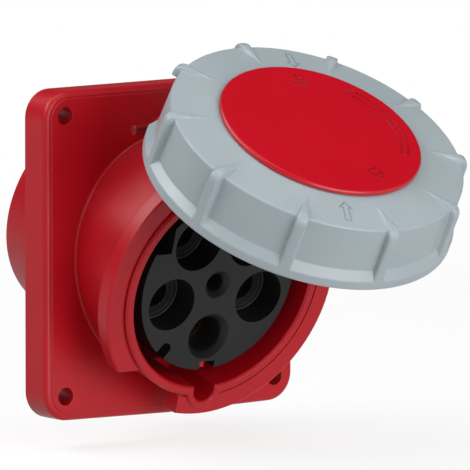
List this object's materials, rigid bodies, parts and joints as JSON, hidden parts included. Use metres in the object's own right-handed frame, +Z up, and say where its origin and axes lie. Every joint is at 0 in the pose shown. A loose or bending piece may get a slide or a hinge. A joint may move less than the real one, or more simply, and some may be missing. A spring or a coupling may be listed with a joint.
{
  "type": "industrial panel socket",
  "caption": "Sloped round power socket on a square panel flange, with recessed contacts and a hinged lid that a ribbed bayonet ring locks.",
  "frame": {"origin": "centre of the four bolt holes on the flange's rear face", "axes": "+Y into the panel, away from the front; +Z up, towards the lid's hinge; +X to the right seen from the front"},
  "size_m": [0.1248, 0.2077, 0.1493],
  "materials": {
    "red_moulding": "satin moulded red plastic",
    "grey_moulding": "satin moulded grey plastic",
    "dark_moulding": "matt dark grey plastic",
    "contact_brass": "turned brass",
    "steel": "bright zinc-plated steel",
    "rubber": "matt black rubber"
  },
  "bodies": {
    "base": {"housing": "red_moulding", "panel_gasket": "rubber", "contact_insert": "dark_moulding", "terminal_base": "dark_moulding", "contact_sleeve_l1": "contact_brass", "contact_sleeve_l2": "contact_brass", "contact_sleeve_l3": "contact_brass", "contact_sleeve_n": "contact_brass", "earth_sleeve": "contact_brass", "pilot_sleeve": "contact_brass", "contact_spring_l1": "steel", "contact_spring_l2": "steel", "contact_spring_l3": "steel", "contact_spring_n": "steel", "earth_spring": "steel", "pilot_spring": "steel", "terminal_screws": "steel", "insert_screws": "steel", "hinge_pin": "red_moulding", "pin_clip": "steel"},
    "lid": {"lid_plate": "red_moulding", "lid_gasket": "rubber", "lid_cover": "red_moulding", "lid_screws": "steel"},
    "ring": {"locking_ring": "grey_moulding"}
  },
  "joints": [
    {"name": "lid_hinge", "type": "hinge", "parent": "base", "child": "lid", "pos_m": [0, -0.04114, 0.0508], "axis": [-1, 0, 0], "range_deg": [-75.6, 30]},
    {"name": "ring_turn", "type": "hinge", "parent": "lid", "child": "ring", "pos_m": [0, -0.10465, 0.04274], "axis": [0, 0.518, -0.8554], "range_deg": [0, 35]}
  ]
}
